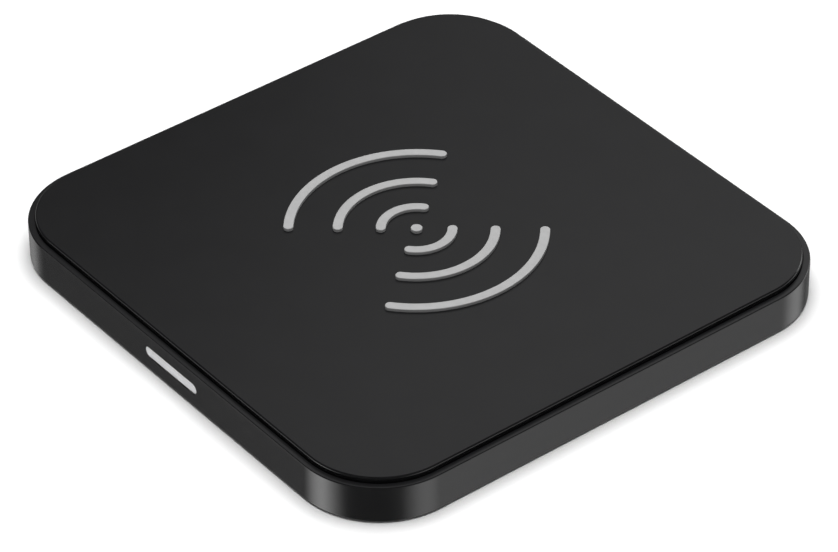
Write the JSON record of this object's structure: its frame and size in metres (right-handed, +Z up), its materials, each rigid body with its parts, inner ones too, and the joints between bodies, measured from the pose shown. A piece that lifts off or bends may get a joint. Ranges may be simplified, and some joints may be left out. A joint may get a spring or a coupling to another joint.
{
  "type": "wireless charging pad",
  "caption": "Square, low, rounded-corner wireless charging pad: black tub, raised matte top plate with grey anti-slip wave ribs, pale light window in front and a USB-C socket behind.",
  "frame": {"origin": "middle of the pad, on the surface that its feet stand on", "axes": "+Z up through the charging face; the light window faces -Y and the USB-C socket faces +Y"},
  "size_m": [0.09, 0.09, 0.0078],
  "materials": {
    "case_plastic": "black ABS/PC, satin-polished mould",
    "cover_plastic": "black ABS/PC with a fine matte texture",
    "grip_rubber": "pale grey silicone, matte",
    "window_plastic": "milky white polycarbonate diffuser",
    "foot_rubber": "black silicone rubber",
    "screw_steel": "zinc-plated steel",
    "shell_steel": "nickel-plated stainless sheet",
    "socket_plastic": "black liquid-crystal polymer",
    "contact_gold": "gold-plated copper alloy",
    "board_laminate": "glass-epoxy laminate with green solder mask",
    "led_resin": "moulded light-emitting diode",
    "litz_copper": "enamelled copper litz wire",
    "clear_film": "double-sided adhesive film",
    "ferrite": "sintered ferrite plate",
    "amber_tape": "polyimide adhesive tape",
    "sensor_epoxy": "dipped epoxy bead",
    "chip_epoxy": "black moulding compound",
    "chip_ceramic": "sintered ceramic with tinned ends",
    "inductor_core": "pressed iron-powder core",
    "resistor_glaze": "black glazed chip resistor"
  },
  "bodies": {
    "root": {"bottom_case": "case_plastic", "top_cover": "cover_plastic", "grip_arc_inner": "grip_rubber", "grip_arc_middle": "grip_rubber", "grip_arc_outer": "grip_rubber", "grip_dot": "grip_rubber", "led_window": "window_plastic", "foot_pads": "foot_rubber", "case_screws": "screw_steel", "usb_c_shell": "shell_steel", "usb_c_insulator": "socket_plastic", "usb_c_contacts": "contact_gold", "main_board": "board_laminate", "status_leds": "led_resin", "coil_winding": "litz_copper", "coil_film": "clear_film", "ferrite_shield": "ferrite", "shield_tape": "amber_tape", "thermistor": "sensor_epoxy", "controller_chip": "chip_epoxy", "bridge_mosfets": "chip_epoxy", "resonance_capacitors": "chip_ceramic", "input_capacitors": "chip_ceramic", "buck_regulator": "chip_epoxy", "buck_inductor": "inductor_core", "sense_resistor": "resistor_glaze", "chip_passives": "chip_ceramic"}
  },
  "joints": []
}
